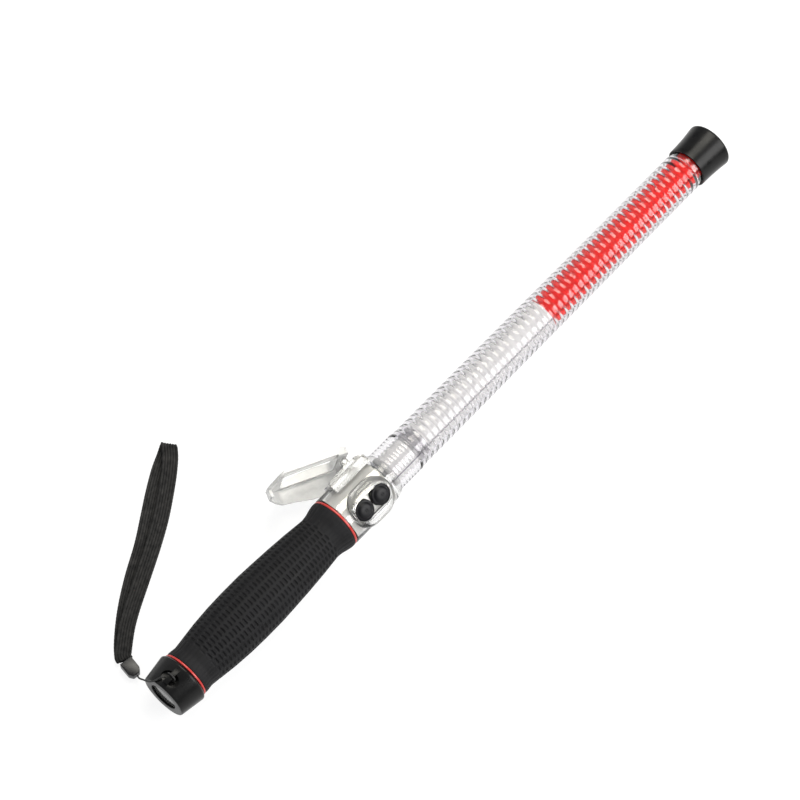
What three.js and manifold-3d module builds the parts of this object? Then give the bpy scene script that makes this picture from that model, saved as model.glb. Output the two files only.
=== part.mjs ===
// Traffic baton light: a clear ribbed light tube with a red sleeve, a switch housing with two
// buttons and a folding hook, a rubber grip round the battery tube, a torch lens in the
// unscrewing tail cap, and a wrist strap on a thin lanyard.
//
// Units are millimetres. The pieces are drawn on the baton's own axis: +X runs from the tail
// face (x = 0) to the tip, and the group at the end lifts that axis over the resting surface.
import * as THREE from "three";
import { mergeVertices } from "three/addons/utils/BufferGeometryUtils.js";
import Module from "manifold-3d";

const wasm = await Module();
wasm.setup();

// Driving dimensions
const GAP = 0.3; // clearance between neighbouring pieces
const LENGTH = 540;
const GRIP_RADIUS = 20; // the fullest part of the grip, which the baton rests on
const NECK_RADIUS = 16.3;
const HOUSING_RADIUS = 18.5;
const TUBE_RADIUS = 14.5; // crest of the ribs
const SLEEVE_RADIUS = 10.6; // light sleeves inside the tube
const HANDLE_RADIUS = 14.8; // battery tube under the grip
const HANDLE_BORE = 13.6;
const CELL_RADIUS = 13.1;
const CELL_LENGTH = 49;
const RIB_PITCH = 5.2;
const RIB_DEPTH = 0.8;

// Stations along the axis
const CAP_BACK = 18.8;
const GRIP_START = 20.8;
const GRIP_END = 158;
const HOUSING_START = 160.2;
const HOUSING_END = 206.3;
const SEAM = 228; // socket meets the light tube
const RED_START = 364; // the red sleeve begins
const TIP_START = 514; // the tip cap begins
const TUBE_END = 524; // the light tube ends inside the tip cap

// Places round the axis, in degrees from the top towards -Y
const PAD_ROLL = 42;
const HOOK_ROLL = -78;

// Switch pad
const PAD_CENTRE = 181.2;
const BUTTON_SPACING = 15.2;
const BUTTON_RADIUS = 7.1;
const PAD_TOP = 20.3;

// Hook
const PIN_X = 190;
const PIN_HEIGHT = 22.4;
const HOOK_ANGLE = 24.8; // how far the loop stands open
const LOOP_REACH = 52;
const LOOP_HALF_WIDTH = 18;

// Lanyard
const CORD_DIAMETER = 1.2;
const WEBBING_WIDTH = 10.5;
const WEBBING_THICKNESS = 1.4;

const ROUND = 32; // facets round the large turned pieces
const FINE = 64; // facets of the cylinders that trim them
const SMALL = 16; // facets round the small ones

// Finishes
const finish = (color, roughness, metalness, opacity = 1) =>
  new THREE.MeshStandardMaterial({ color, roughness, metalness, opacity, transparent: opacity < 1 });
const BLACK_PLASTIC = finish(0x151516, 0.35, 0);
const BLACK_RUBBER = finish(0x1b1b1d, 0.8, 0);
const RED_RUBBER = finish(0xc8322e, 0.5, 0);
const CLEAR = finish(0xe6e8ea, 0.1, 0, 0.35);
const SILVER_FILM = finish(0xd6d6d4, 0.25, 0.8);
const WHITE_FILM = finish(0xe9ebee, 0.35, 0.1, 0.6);
const RED_FILM = finish(0xe01a12, 0.3, 0, 0.8);
const CHROME = finish(0xf0f0f0, 0.08, 1);
const STEEL = finish(0xb4b6b9, 0.3, 1);
const BRASS = finish(0xc9a24a, 0.3, 1);
const BOARD = finish(0x1f6b3a, 0.5, 0);
const CELL_WRAP = finish(0x2f5f9e, 0.4, 0);
const LED_YELLOW = finish(0xf1e27a, 0.2, 0);
const LED_RED = finish(0xd2231c, 0.15, 0);
const WEBBING = finish(0x1c1c1d, 0.9, 0);

// A closed geometry as a manifold solid, turned right side out if its winding was reversed.
function solidOf(geometry) {
  const bare = geometry.clone();
  bare.deleteAttribute("normal");
  bare.deleteAttribute("uv");
  const merged = mergeVertices(bare, 1e-4);
  const build = () =>
    new wasm.Manifold(
      new wasm.Mesh({
        numProp: 3,
        vertProperties: new Float32Array(merged.attributes.position.array),
        triVerts: new Uint32Array(merged.index.array),
      }),
    );
  const solid = build();
  if (solid.volume() >= 0) return solid;
  const index = merged.index.array;
  for (let i = 0; i < index.length; i += 3) {
    [index[i + 1], index[i + 2]] = [index[i + 2], index[i + 1]];
  }
  return build();
}

function geometryOf(solid) {
  const mesh = solid.getMesh();
  const positions = new Float32Array(mesh.numVert * 3);
  for (let i = 0; i < mesh.numVert; i++) {
    const start = i * mesh.numProp;
    positions.set(mesh.vertProperties.subarray(start, start + 3), i * 3);
  }
  const geometry = new THREE.BufferGeometry();
  geometry.setAttribute("position", new THREE.BufferAttribute(positions, 3));
  geometry.setIndex(new THREE.BufferAttribute(new Uint32Array(mesh.triVerts), 1));
  geometry.computeVertexNormals();
  return geometry;
}

function addPiece(group, name, material, solid) {
  const mesh = new THREE.Mesh(geometryOf(solid), material);
  mesh.name = name;
  group.add(mesh);
}

// A solid turned about the X axis. The profile is [x, radius] pairs; one that doesn't start on
// the axis is closed on itself.
function turned(profile, facets = ROUND) {
  const outline = profile[0][1] > 0 ? [...profile, profile[0]] : profile;
  const points = outline.map(([x, radius]) => new THREE.Vector2(radius, x));
  return solidOf(new THREE.LatheGeometry(points, facets).rotateZ(-Math.PI / 2));
}

// A plain ring about the X axis.
const ring = (start, end, outer, inner, facets = ROUND) =>
  turned([[start, inner], [start, outer], [end, outer], [end, inner]], facets);

const disc = (start, end, radius, facets = ROUND) =>
  turned([[start, 0], [start, radius], [end, radius], [end, 0]], facets);

// A box given by its lowest and highest corners.
function block([x0, y0, z0], [x1, y1, z1]) {
  const box = new THREE.BoxGeometry(x1 - x0, y1 - y0, z1 - z0);
  return solidOf(box.translate((x0 + x1) / 2, (y0 + y1) / 2, (z0 + z1) / 2));
}

// A flat outline in X and Y, raised from one height to another, with an optional round bevel
// inside that height.
function raised(shape, bottom, top, bevel = 0, bevelSteps = 3) {
  const geometry = new THREE.ExtrudeGeometry(shape, {
    depth: top - bottom - 2 * bevel,
    bevelEnabled: bevel > 0,
    bevelThickness: bevel,
    bevelSize: bevel,
    bevelOffset: -bevel,
    bevelSegments: bevelSteps,
    curveSegments: 6,
  });
  return solidOf(geometry.translate(0, 0, bottom + bevel));
}

// A side outline in X and Z, extruded across Y.
function acrossY(shape, from, to) {
  const geometry = new THREE.ExtrudeGeometry(shape, {
    depth: to - from,
    bevelEnabled: false,
    curveSegments: 10,
  });
  return solidOf(geometry.rotateX(Math.PI / 2).translate(0, to, 0));
}

// A pin along Y.
function pinAlongY(x, z, radius, from, to, facets = SMALL) {
  const pin = new THREE.CylinderGeometry(radius, radius, to - from, facets);
  return solidOf(pin.translate(x, (from + to) / 2, z));
}

// A post along Z.
function postAlongZ(x, y, radius, from, to, facets = SMALL) {
  const post = new THREE.CylinderGeometry(radius, radius, to - from, facets).rotateX(Math.PI / 2);
  return solidOf(post.translate(x, y, (from + to) / 2));
}

// An outline with straight long sides and round ends, centred on x.
function stadium(x, length, width) {
  const radius = width / 2;
  const reach = length / 2 - radius;
  const shape = new THREE.Shape();
  shape.absarc(x + reach, 0, radius, -Math.PI / 2, Math.PI / 2, false);
  shape.absarc(x - reach, 0, radius, Math.PI / 2, (3 * Math.PI) / 2, false);
  shape.closePath();
  return shape;
}

function roundedBox(x0, x1, halfWidth, radius) {
  const shape = new THREE.Shape();
  shape.moveTo(x0 + radius, -halfWidth);
  shape.lineTo(x1 - radius, -halfWidth);
  shape.absarc(x1 - radius, -halfWidth + radius, radius, -Math.PI / 2, 0, false);
  shape.lineTo(x1, halfWidth - radius);
  shape.absarc(x1 - radius, halfWidth - radius, radius, 0, Math.PI / 2, false);
  shape.lineTo(x0 + radius, halfWidth);
  shape.absarc(x0 + radius, halfWidth - radius, radius, Math.PI / 2, Math.PI, false);
  shape.lineTo(x0, -halfWidth + radius);
  shape.absarc(x0 + radius, -halfWidth + radius, radius, Math.PI, 1.5 * Math.PI, false);
  return shape;
}

// A group turned about the axis, so that its own +Z points outwards at that place.
function rolledGroup(parent, degrees) {
  const group = new THREE.Group();
  group.rotation.x = THREE.MathUtils.degToRad(degrees);
  parent.add(group);
  return group;
}

// Tail: the torch end, which unscrews from the handle tube
function addTail(baton) {
  const lip = 10;
  const lensSeat = 11.7;
  const skirt = 13.2;
  const skirtEnd = 31;
  const body = turned([
    [0, lip],
    [0, 15.8],
    [0.6, 16.4],
    [16, 18.4],
    [17.2, 18.5],
    [18.2, 17.9],
    [CAP_BACK, 17],
    [CAP_BACK, skirt],
    [skirtEnd, skirt],
    [skirtEnd, lensSeat],
    [1.2, lensSeat],
    [1.2, lip],
  ]);
  const pocketX = 7.6;
  const pocket = solidOf(
    new THREE.CylinderGeometry(1, 1, 8, SMALL)
      .rotateX(Math.PI / 2)
      .scale(4.2, 6.6, 1)
      .translate(pocketX, 0, 13.9 + 4),
  );
  const bridge = block([pocketX - 4.6, -1.7, 16.1], [pocketX + 4.9, 1.7, 17.9]);
  addPiece(baton, "tail_cap", BLACK_PLASTIC, body.subtract(pocket).add(bridge));

  addPiece(
    baton,
    "tail_lens",
    CLEAR,
    turned([[1.5, 0], [1.5, 11.1], [3.4, 11.1], [3.4, 10], [2.9, 0]]),
  );
  addPiece(baton, "lens_seal", BLACK_RUBBER, ring(3.7, 4.7, 11.3, 10.3));
  addPiece(
    baton,
    "tail_reflector",
    CHROME,
    turned([
      [5, 10.2],
      [5, 11.3],
      [6, 11.3],
      [6, 10.6],
      [10.5, 9],
      [14.2, 4],
      [14.2, 2.6],
      [13.4, 3],
      [9.8, 8],
    ]),
  );
  addPiece(baton, "torch_board", BOARD, disc(14.6, 16.2, 11.2));
  addPiece(
    baton,
    "torch_led",
    LED_YELLOW,
    turned([[11.6, 0], [12.1, 1.3], [12.9, 1.9], [14.3, 2], [14.3, 0]], SMALL),
  );
  addPiece(baton, "battery_spring", STEEL, contactSpring(16.5, 33.4));
}

// A conical wire spring between two stations on the axis.
function contactSpring(from, to) {
  const turns = 4;
  const wire = 0.5;
  const wide = 8;
  const narrow = 4;
  class Helix extends THREE.Curve {
    getPoint(t, target = new THREE.Vector3()) {
      const angle = 2 * Math.PI * turns * t;
      const radius = wide + (narrow - wide) * t;
      const x = from + wire + (to - from - 2 * wire) * t;
      return target.set(x, radius * Math.cos(angle), radius * Math.sin(angle));
    }
  }
  const section = new THREE.Shape().absarc(0, 0, wire, 0, 2 * Math.PI, false);
  const steps = 52;
  return solidOf(
    new THREE.ExtrudeGeometry(section, { extrudePath: new Helix(), steps, curveSegments: 3 }),
  );
}

// Handle: the battery tube, its two cells and the rubber over it
function addHandle(baton) {
  const under = HANDLE_RADIUS + GAP;
  addPiece(baton, "rear_red_ring", RED_RUBBER, ring(19.1, 20.5, 17, under));
  addPiece(baton, "front_red_ring", RED_RUBBER, ring(158.3, 159.9, 18.3, under));

  const handleEnd = 165;
  addPiece(baton, "handle_tube", BLACK_PLASTIC, ring(19.1, handleEnd, HANDLE_RADIUS, HANDLE_BORE));

  const outline = [
    [GRIP_START, 16.7],
    [GRIP_START + 1, 17],
    [27.3, NECK_RADIUS],
    [35, 17.2],
    [46.5, 18.6],
    [60, 19.6],
    [73, GRIP_RADIUS],
    [89, GRIP_RADIUS],
    [100, 19.5],
    [115, 18.7],
    [130, 17.6],
    [140, 16.6],
    [144.7, NECK_RADIUS - 0.1],
    [149, 16.7],
    [153, 17.8],
    [156.7, 18.5],
    [GRIP_END, 18.3],
  ];
  addPiece(
    baton,
    "grip_sleeve",
    BLACK_RUBBER,
    turned([[GRIP_START, under], ...outline, [GRIP_END, under]]),
  );

  const firstCell = 33.7;
  const nubRadius = 3;
  const nubHeight = 1.2;
  const pitch = CELL_LENGTH + nubHeight + GAP;
  for (let i = 0; i < 2; i++) {
    const start = firstCell + i * pitch;
    const cell = disc(start, start + CELL_LENGTH, CELL_RADIUS, 24);
    const nub = disc(start + CELL_LENGTH - 1, start + CELL_LENGTH + nubHeight, nubRadius, SMALL);
    addPiece(baton, `battery_${i + 1}`, CELL_WRAP, cell.add(nub));
  }
  const plateStart = firstCell + 2 * pitch;
  addPiece(baton, "contact_plate", BRASS, disc(plateStart, plateStart + 0.8, 12, 24));
  addPiece(
    baton,
    "driver_board",
    BOARD,
    block([plateStart + 1.1, -11.5, -0.8], [handleEnd - 3, 11.5, 0.8]),
  );
}

// Switch housing: clear shell over a silver liner, with the two-button pad
function addHousing(baton) {
  const shellInner = 16.9;
  const linerOuter = 16.6;
  const linerInner = 15.5;
  const tubeHole = 15.4;
  const pad = rolledGroup(baton, PAD_ROLL);

  const windowLength = BUTTON_SPACING + 2 * BUTTON_RADIUS + 0.8;
  const windowWidth = 2 * BUTTON_RADIUS + 0.8;
  const window = raised(stadium(PAD_CENTRE, windowLength, windowWidth), 5, 30);

  const shell = turned([
    [HOUSING_START, shellInner],
    [HOUSING_START, HOUSING_RADIUS - 0.5],
    [HOUSING_START + 0.6, HOUSING_RADIUS],
    [194, HOUSING_RADIUS],
    [199, 17.9],
    [203, 16.9],
    [HOUSING_END, 15.7],
    [HOUSING_END, tubeHole],
    [201.5, tubeHole],
    [199, shellInner],
  ]);
  addPiece(pad, "switch_housing", CLEAR, shell.subtract(window));

  const buttonHole = (x) => postAlongZ(x, 0, BUTTON_RADIUS + GAP, 5, 30);
  const liner = ring(HOUSING_START + 0.6, 198.6, linerOuter, linerInner)
    .subtract(buttonHole(PAD_CENTRE - BUTTON_SPACING / 2))
    .subtract(buttonHole(PAD_CENTRE + BUTTON_SPACING / 2));
  addPiece(pad, "housing_liner", SILVER_FILM, liner);

  const bezelBody = raised(stadium(PAD_CENTRE, 36.4, 27.6), 10, PAD_TOP, 4.2);
  const seat = ring(150, 210, HOUSING_RADIUS + GAP, 5, FINE).add(disc(150, 210, 6));
  addPiece(pad, "button_bezel", CLEAR, bezelBody.subtract(seat).subtract(window));

  const rows = { rear: -1, front: 1 };
  for (const [name, side] of Object.entries(rows)) {
    const x = PAD_CENTRE + (side * BUTTON_SPACING) / 2;
    addPiece(pad, `button_${name}`, BLACK_RUBBER, buttonCap(x));
    const body = block([x - 3, -3, 12.4], [x + 3, 3, 14]);
    const stem = postAlongZ(x, 0, 1.7, 13, 14.3);
    addPiece(pad, `tact_switch_${name}`, BLACK_PLASTIC, body.add(stem));
  }
  addPiece(
    pad,
    "switch_board",
    BOARD,
    block([PAD_CENTRE - 9, -6.6, 10.6], [PAD_CENTRE + 15, 6.6, 12.1]),
  );
}

// A rubber button: a flanged round cap with a low dome.
function buttonCap(x) {
  const foot = 15.7;
  const profile = [
    [foot, 0],
    [foot, BUTTON_RADIUS],
    [18.9, BUTTON_RADIUS],
    [19.6, 6.6],
    [20, 5.4],
    [20.7, 4.5],
    [21.2, 2.7],
    [21.3, 0],
  ];
  const points = profile.map(([height, radius]) => new THREE.Vector2(radius, height));
  const cap = new THREE.LatheGeometry(points, 24).rotateX(Math.PI / 2);
  return solidOf(cap.translate(x, 0, 0));
}

// Hook: a saddle on the housing, a pin, and a loop that folds against the grip
function addHook(baton) {
  const hook = rolledGroup(baton, HOOK_ROLL);
  const saddleTop = 19.9;
  const saddleHalfWidth = 15.4;
  const lugRadius = 2.3;
  const lugInner = 7.4;
  const lugOuter = 12;
  const pinRadius = 1;

  const side = new THREE.Shape();
  side.moveTo(170, 6);
  side.lineTo(170, 17.5);
  side.lineTo(172.5, saddleTop);
  side.lineTo(196, saddleTop);
  side.lineTo(201, 17);
  side.lineTo(201, 6);
  const body = acrossY(side, -saddleHalfWidth, saddleHalfWidth);
  const housing = disc(150, 220, HOUSING_RADIUS + GAP, FINE);
  let saddle = body.subtract(housing);
  for (const inner of [lugInner, -lugOuter]) {
    const outer = inner + lugOuter - lugInner;
    const foot = block([PIN_X - lugRadius, inner, 17.8], [PIN_X + lugRadius, outer, PIN_HEIGHT]);
    const eye = pinAlongY(PIN_X, PIN_HEIGHT, lugRadius, inner, outer);
    saddle = saddle.add(foot.subtract(housing)).add(eye);
  }
  const pinHole = pinAlongY(PIN_X, PIN_HEIGHT, pinRadius + GAP, -20, 20);
  const screwX = [175.5, 184];
  for (const x of screwX) {
    saddle = saddle.subtract(postAlongZ(x, 9, 1.5, 10, 30));
  }
  addPiece(hook, "hook_base", CLEAR, saddle.subtract(pinHole));
  addPiece(hook, "hook_pin", STEEL, pinAlongY(PIN_X, PIN_HEIGHT, pinRadius, -lugOuter, lugOuter));
  screwX.forEach((x, i) => {
    const shank = postAlongZ(x, 9, 1.2, 16.9, 20.4);
    const head = postAlongZ(x, 9, 2.3, 20.2, 21.3);
    addPiece(hook, `hook_screw_${i + 1}`, STEEL, shank.add(head));
  });

  const swing = new THREE.Group();
  swing.position.set(PIN_X, 0, PIN_HEIGHT);
  swing.rotation.y = THREE.MathUtils.degToRad(HOOK_ANGLE);
  hook.add(swing);
  addPiece(swing, "hook_loop", CLEAR, hookLoop(lugRadius, lugInner, pinRadius));
}

// The loop, drawn folded, with its pin at the origin and its free end towards -X.
function hookLoop(lugRadius, lugInner, pinRadius) {
  const underside = lugRadius + 1.1;
  const hinge = 3.5;
  const shoulder = -42;
  const tipHalf = 5;
  const wall = 1.6;
  const openingHalf = 12.4;

  const arch = new THREE.Shape();
  arch.moveTo(hinge, underside);
  arch.lineTo(hinge, 7.2);
  arch.quadraticCurveTo(-23, 13.6, -LOOP_REACH, 2.2);
  arch.lineTo(-LOOP_REACH, 0.2);
  arch.lineTo(shoulder, underside);
  const opening = raised(roundedBox(-41, -3.5, openingHalf, 3.5), -20, 20);
  const relief = block([-41, -20, 0], [-3.5, -openingHalf, underside + 1]);
  const bars = acrossY(arch, -LOOP_HALF_WIDTH, LOOP_HALF_WIDTH).subtract(opening).subtract(relief);

  const skirt = new THREE.Shape();
  skirt.moveTo(hinge, underside + 0.5);
  skirt.lineTo(hinge, -5.4);
  skirt.lineTo(0, -8.6);
  skirt.lineTo(-10, -9.6);
  skirt.lineTo(-21, -9.4);
  skirt.lineTo(-33, -7.2);
  skirt.lineTo(-47, -5.5);
  skirt.lineTo(-LOOP_REACH, -3.5);
  skirt.lineTo(-LOOP_REACH, 0.7);
  skirt.lineTo(shoulder, underside + 0.5);
  const cavity = loopOutline(10, shoulder + 0.6, -LOOP_REACH + wall, LOOP_HALF_WIDTH - wall, tipHalf - 0.7);
  const side = acrossY(skirt, -tipHalf, LOOP_HALF_WIDTH).subtract(raised(cavity, -20, 20));

  const outline = loopOutline(hinge, shoulder, -LOOP_REACH, LOOP_HALF_WIDTH, tipHalf);
  const loop = bars.add(side).intersect(raised(outline, -20, 20));

  const knuckleHalf = lugInner - GAP;
  const barrel = pinAlongY(0, 0, lugRadius, -knuckleHalf, knuckleHalf);
  const web = block([-lugRadius, -knuckleHalf, 0], [lugRadius, knuckleHalf, underside + 0.5]);
  const bore = pinAlongY(0, 0, pinRadius + GAP, -20, 20);
  return loop.add(barrel).add(web).subtract(bore);
}

// The loop's plan: square at the hinge, drawn in to a blunt point at the free end.
function loopOutline(hinge, shoulder, tip, halfWidth, tipHalf) {
  const outline = new THREE.Shape();
  const corner = 3;
  outline.moveTo(hinge - corner, -halfWidth);
  outline.quadraticCurveTo(hinge, -halfWidth, hinge, -halfWidth + corner);
  outline.lineTo(hinge, halfWidth - corner);
  outline.quadraticCurveTo(hinge, halfWidth, hinge - corner, halfWidth);
  outline.lineTo(shoulder, halfWidth);
  outline.lineTo(tip, tipHalf);
  outline.lineTo(tip, -tipHalf);
  outline.lineTo(shoulder, -halfWidth);
  return outline;
}

// Light tube: socket, ribbed tube, sleeves and the strip of lamps inside them
function addLightTube(baton) {
  const bore = 12.9;
  const facets = 18;
  const valley = TUBE_RADIUS - RIB_DEPTH;

  const collar = ribbedProfile(HOUSING_END + GAP, SEAM, 15, 15 - RIB_DEPTH);
  const inside = 199;
  const spigotEnd = SEAM + 10;
  const spigotRadius = bore - GAP;
  addPiece(
    baton,
    "tube_socket",
    CLEAR,
    turned(
      [
        [inside, 11],
        [inside, 14.8],
        ...collar,
        [SEAM, spigotRadius],
        [spigotEnd, spigotRadius],
        [spigotEnd, 11],
      ],
      facets,
    ),
  );

  const tubeStart = SEAM + GAP;
  const plainEnd = TIP_START - 4;
  addPiece(
    baton,
    "light_tube",
    CLEAR,
    turned(
      [
        [tubeStart, bore],
        ...ribbedProfile(tubeStart, plainEnd, TUBE_RADIUS, valley),
        [TUBE_END, valley],
        [TUBE_END, bore],
      ],
      facets,
    ),
  );

  const sleeveInner = SLEEVE_RADIUS - 0.7;
  addPiece(baton, "clear_sleeve", WHITE_FILM, ring(203, RED_START - GAP, SLEEVE_RADIUS, sleeveInner, 24));
  addPiece(baton, "red_sleeve", RED_FILM, ring(RED_START, TUBE_END - 1, SLEEVE_RADIUS, sleeveInner, 24));

  const boardHalf = 6;
  addPiece(
    baton,
    "lamp_board",
    BOARD,
    block([206, -boardHalf, -0.8], [510, boardHalf, 0.8]),
  );
  const lamps = 10;
  const firstLamp = 380;
  const lampPitch = 28;
  for (let i = 0; i < lamps; i++) {
    const up = i < lamps / 2;
    const x = firstLamp + (i % (lamps / 2)) * lampPitch;
    addPiece(baton, `lamp_${i + 1}`, LED_RED, lamp(x, up ? 1 : -1));
  }
}

// A run of saw-toothed ribs from one station to another, as profile points.
function ribbedProfile(from, to, crest, valley) {
  const count = Math.floor((to - from) / RIB_PITCH);
  const pitch = (to - from) / count;
  const points = [];
  for (let i = 0; i < count; i++) {
    const start = from + i * pitch;
    points.push([start, valley], [start + 0.62 * pitch, crest]);
  }
  points.push([to, valley]);
  return points;
}

// A round lamp standing on one face of the board.
function lamp(x, side) {
  const profile = [
    [1.1, 0],
    [1.1, 2.9],
    [2, 2.9],
    [2.1, 2.5],
    [4.6, 2.5],
    [6.2, 1.6],
    [6.7, 0],
  ];
  const points = profile.map(([height, radius]) => new THREE.Vector2(radius, height));
  const body = new THREE.LatheGeometry(points, 12).rotateX((side * Math.PI) / 2);
  return solidOf(body.translate(x, 0, 0));
}

// Tip: a flared black cap with a collar that holds the tube and the sleeve
function addTip(baton) {
  const socketRadius = TUBE_RADIUS - RIB_DEPTH + GAP;
  const start = TIP_START + GAP;
  const socketEnd = TUBE_END + GAP;
  const hollow = 12.6;
  const wallStart = 536.5;
  addPiece(
    baton,
    "tip_cap",
    BLACK_PLASTIC,
    turned([
      [start, socketRadius],
      [start, 15.3],
      [522, 15.5],
      [530, 16],
      [536, 16.7],
      [538.6, 17],
      [539.6, 16.7],
      [LENGTH, 15.8],
      [LENGTH, 0],
      [wallStart, 0],
      [wallStart, hollow],
      [socketEnd, hollow],
      [socketEnd, socketRadius],
    ]),
  );
}

// Lanyard: a thin cord round the cap's bridge, a clasp, and a loop of flat webbing.
// Routes are listed by hand, with heights over the resting surface.
const ABOVE_SURFACE = (x, y, height) => new THREE.Vector3(x, y, height - GRIP_RADIUS);
const CORD_ROUTE = [
  ABOVE_SURFACE(9.3, 2.9, 37.7),
  ABOVE_SURFACE(9.2, 1.3, 39),
  ABOVE_SURFACE(9, -1.3, 39),
  ABOVE_SURFACE(8.8, -2.9, 37.5),
  ABOVE_SURFACE(8.2, -2.3, 35.3),
  ABOVE_SURFACE(7.2, 0.3, 34.8),
  ABOVE_SURFACE(6.1, 2.9, 36),
  ABOVE_SURFACE(4.6, 4.1, 37.75),
  ABOVE_SURFACE(2.2, 5.3, 36.8),
  ABOVE_SURFACE(0, 6.7, 35.4),
  ABOVE_SURFACE(-0.9, 9, 32.4),
  ABOVE_SURFACE(-1, 12.4, 28),
  ABOVE_SURFACE(-0.6, 16.3, 23),
  ABOVE_SURFACE(0.6, 20.4, 15.5),
  ABOVE_SURFACE(2.2, 24.4, 8.2),
  ABOVE_SURFACE(3.75, 27.4, 3.9),
];
const WEBBING_ROUTE = [
  ABOVE_SURFACE(5.9, 40.7, 1.9),
  ABOVE_SURFACE(6.7, 43.2, 1.5),
  ABOVE_SURFACE(9.3, 46.4, 1.1),
  ABOVE_SURFACE(13, 50.2, 0.85),
  ABOVE_SURFACE(23.4, 59, 0.8),
  ABOVE_SURFACE(34.6, 67.2, 0.8),
  ABOVE_SURFACE(51.6, 77.8, 0.8),
  ABOVE_SURFACE(72.1, 89, 0.8),
  ABOVE_SURFACE(90, 100.4, 0.8),
  ABOVE_SURFACE(103, 108.8, 0.8),
  ABOVE_SURFACE(118.4, 117.8, 0.8),
  ABOVE_SURFACE(128.3, 122.4, 0.9),
  ABOVE_SURFACE(133.8, 125, 1.5),
  ABOVE_SURFACE(135.3, 125.2, 2.8),
  ABOVE_SURFACE(134, 123.3, 4.2),
  ABOVE_SURFACE(129, 117.8, 4),
  ABOVE_SURFACE(121, 111.2, 3.1),
  ABOVE_SURFACE(106.6, 101, 2.65),
  ABOVE_SURFACE(92.1, 91.6, 2.6),
  ABOVE_SURFACE(75.9, 82.6, 2.6),
  ABOVE_SURFACE(55.2, 72.2, 2.6),
  ABOVE_SURFACE(34.1, 61.7, 2.65),
  ABOVE_SURFACE(24.4, 56.1, 2.9),
  ABOVE_SURFACE(16.7, 50.7, 3.3),
  ABOVE_SURFACE(10.9, 46.2, 3.9),
  ABOVE_SURFACE(7.2, 43.1, 4.3),
  ABOVE_SURFACE(6.2, 40.7, 4.5),
];
const FOLD_DIRECTION = new THREE.Vector3(0.76, 0.65, 0); // the way the webbing points at its fold
const FOLD_SHARE = 0.49; // how far along its length the webbing turns back

// A route for flat webbing, which keeps its width level all the way through the fold.
class WebbingPath extends THREE.CatmullRomCurve3 {
  computeFrenetFrames(steps) {
    const frames = { tangents: [], normals: [], binormals: [] };
    for (let i = 0; i <= steps; i++) {
      const share = i / steps;
      const tangent = this.getTangentAt(share);
      const heading = tangent.clone().multiplyScalar(share < FOLD_SHARE ? 1 : -1).setZ(0);
      heading.addScaledVector(FOLD_DIRECTION, Math.abs(tangent.z)).normalize();
      const across = new THREE.Vector3(-heading.y, heading.x, 0);
      frames.tangents.push(tangent);
      frames.normals.push(across);
      frames.binormals.push(new THREE.Vector3().crossVectors(tangent, across).normalize());
    }
    return frames;
  }
}

function addLanyard(baton) {
  const radius = CORD_DIAMETER / 2;
  const cordPath = new THREE.CatmullRomCurve3(CORD_ROUTE, false, "centripetal");
  const cordSection = new THREE.Shape().absarc(0, 0, radius, 0, 2 * Math.PI, false);
  addPiece(
    baton,
    "lanyard_cord",
    WEBBING,
    solidOf(
      new THREE.ExtrudeGeometry(cordSection, {
        extrudePath: cordPath,
        steps: 34,
        curveSegments: 4,
      }),
    ),
  );

  const half = WEBBING_WIDTH / 2;
  const thick = WEBBING_THICKNESS / 2;
  const edge = 0.4;
  const webbingSection = new THREE.Shape();
  webbingSection.moveTo(-half, -thick + edge);
  webbingSection.lineTo(-half + edge, -thick);
  webbingSection.lineTo(half - edge, -thick);
  webbingSection.lineTo(half, -thick + edge);
  webbingSection.lineTo(half, thick - edge);
  webbingSection.lineTo(half - edge, thick);
  webbingSection.lineTo(-half + edge, thick);
  webbingSection.lineTo(-half, thick - edge);
  const webbingPath = new WebbingPath(WEBBING_ROUTE, false, "centripetal");
  addPiece(
    baton,
    "wrist_strap",
    WEBBING,
    solidOf(
      new THREE.ExtrudeGeometry(webbingSection, { extrudePath: webbingPath, steps: 78 }),
    ),
  );

  const clasp = new THREE.Group();
  clasp.position.copy(ABOVE_SURFACE(4.7, 33.8, 0));
  clasp.rotation.z = THREE.MathUtils.degToRad(81);
  baton.add(clasp);
  const outline = new THREE.Shape();
  outline.moveTo(5.75, -4.4);
  outline.lineTo(5.75, 4.4);
  outline.lineTo(-3, 4.4);
  outline.lineTo(-5.75, 2.4);
  outline.lineTo(-5.75, -2.4);
  outline.lineTo(-3, -4.4);
  addPiece(clasp, "strap_clasp", BLACK_PLASTIC, raised(outline, 0.3, 6.4, 0.7, 2));
}

const baton = new THREE.Group();
baton.name = "traffic_baton_light";
addTail(baton);
addHandle(baton);
addHousing(baton);
addHook(baton);
addLightTube(baton);
addTip(baton);
addLanyard(baton);

// The origin is under the middle of the baton, on the surface that it lies on. The hook stands
// out on one side, so that middle is this far from the axis.
const MIDDLE_OFFSET = 12.9;
baton.position.set(-LENGTH / 2, -MIDDLE_OFFSET, GRIP_RADIUS);
const part = new THREE.Group();
part.add(baton);

export default part;
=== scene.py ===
"""The looks of the traffic baton light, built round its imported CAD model."""

import math

import bmesh
import bpy
import numpy as np
from mathutils import Matrix, Vector


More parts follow.
